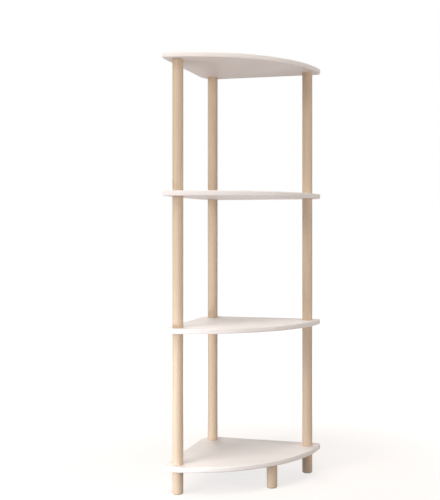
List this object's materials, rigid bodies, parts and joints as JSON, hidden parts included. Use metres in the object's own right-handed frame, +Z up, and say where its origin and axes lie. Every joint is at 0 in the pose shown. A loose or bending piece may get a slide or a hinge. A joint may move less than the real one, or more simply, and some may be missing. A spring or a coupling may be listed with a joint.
{
  "type": "corner plant stand",
  "caption": "Corner plant stand: white quarter-round shelves clamped between lengths of round natural wood post at each corner, on short round feet.",
  "frame": {"origin": "on the floor, under the middle of the 305 mm square that the shelves' straight sides span", "axes": "+Z up; the straight sides lie along the walls at -X and +Y, the corner post stands at -X +Y, and the round front faces +X -Y"},
  "size_m": [0.305, 0.305, 1],
  "materials": {
    "white_board": "satin white lacquer with a faint grain",
    "beech_post": "sanded natural beech, clear matt lacquer",
    "zinc_hardware": "bright zinc plate"
  },
  "bodies": {
    "root": {"shelf_bottom": "white_board", "shelf_lower": "white_board", "shelf_upper": "white_board", "shelf_top": "white_board", "foot_left": "beech_post", "insert_foot_left": "zinc_hardware", "foot_back": "beech_post", "insert_foot_back": "zinc_hardware", "foot_right": "beech_post", "insert_foot_right": "zinc_hardware", "foot_front": "beech_post", "insert_foot_front": "zinc_hardware", "upright_left_1": "beech_post", "insert_upright_left_1_low": "zinc_hardware", "insert_upright_left_1_high": "zinc_hardware", "stud_bottom_left": "zinc_hardware", "upright_left_2": "beech_post", "insert_upright_left_2_low": "zinc_hardware", "insert_upright_left_2_high": "zinc_hardware", "stud_lower_left": "zinc_hardware", "upright_left_3": "beech_post", "insert_upright_left_3_low": "zinc_hardware", "insert_upright_left_3_high": "zinc_hardware", "stud_upper_left": "zinc_hardware", "insert_shelf_top_left": "zinc_hardware", "stud_top_left": "zinc_hardware", "upright_back_1": "beech_post", "insert_upright_back_1_low": "zinc_hardware", "insert_upright_back_1_high": "zinc_hardware", "stud_bottom_back": "zinc_hardware", "upright_back_2": "beech_post", "insert_upright_back_2_low": "zinc_hardware", "insert_upright_back_2_high": "zinc_hardware", "stud_lower_back": "zinc_hardware", "upright_back_3": "beech_post", "insert_upright_back_3_low": "zinc_hardware", "insert_upright_back_3_high": "zinc_hardware", "stud_upper_back": "zinc_hardware", "insert_shelf_top_back": "zinc_hardware", "stud_top_back": "zinc_hardware", "upright_right_1": "beech_post", "insert_upright_right_1_low": "zinc_hardware", "insert_upright_right_1_high": "zinc_hardware", "stud_bottom_right": "zinc_hardware", "upright_right_2": "beech_post", "insert_upright_right_2_low": "zinc_hardware", "insert_upright_right_2_high": "zinc_hardware", "stud_lower_right": "zinc_hardware", "upright_right_3": "beech_post", "insert_upright_right_3_low": "zinc_hardware", "insert_upright_right_3_high": "zinc_hardware", "stud_upper_right": "zinc_hardware", "insert_shelf_top_right": "zinc_hardware", "stud_top_right": "zinc_hardware", "insert_shelf_bottom_front": "zinc_hardware", "stud_bottom_front": "zinc_hardware"}
  },
  "joints": []
}
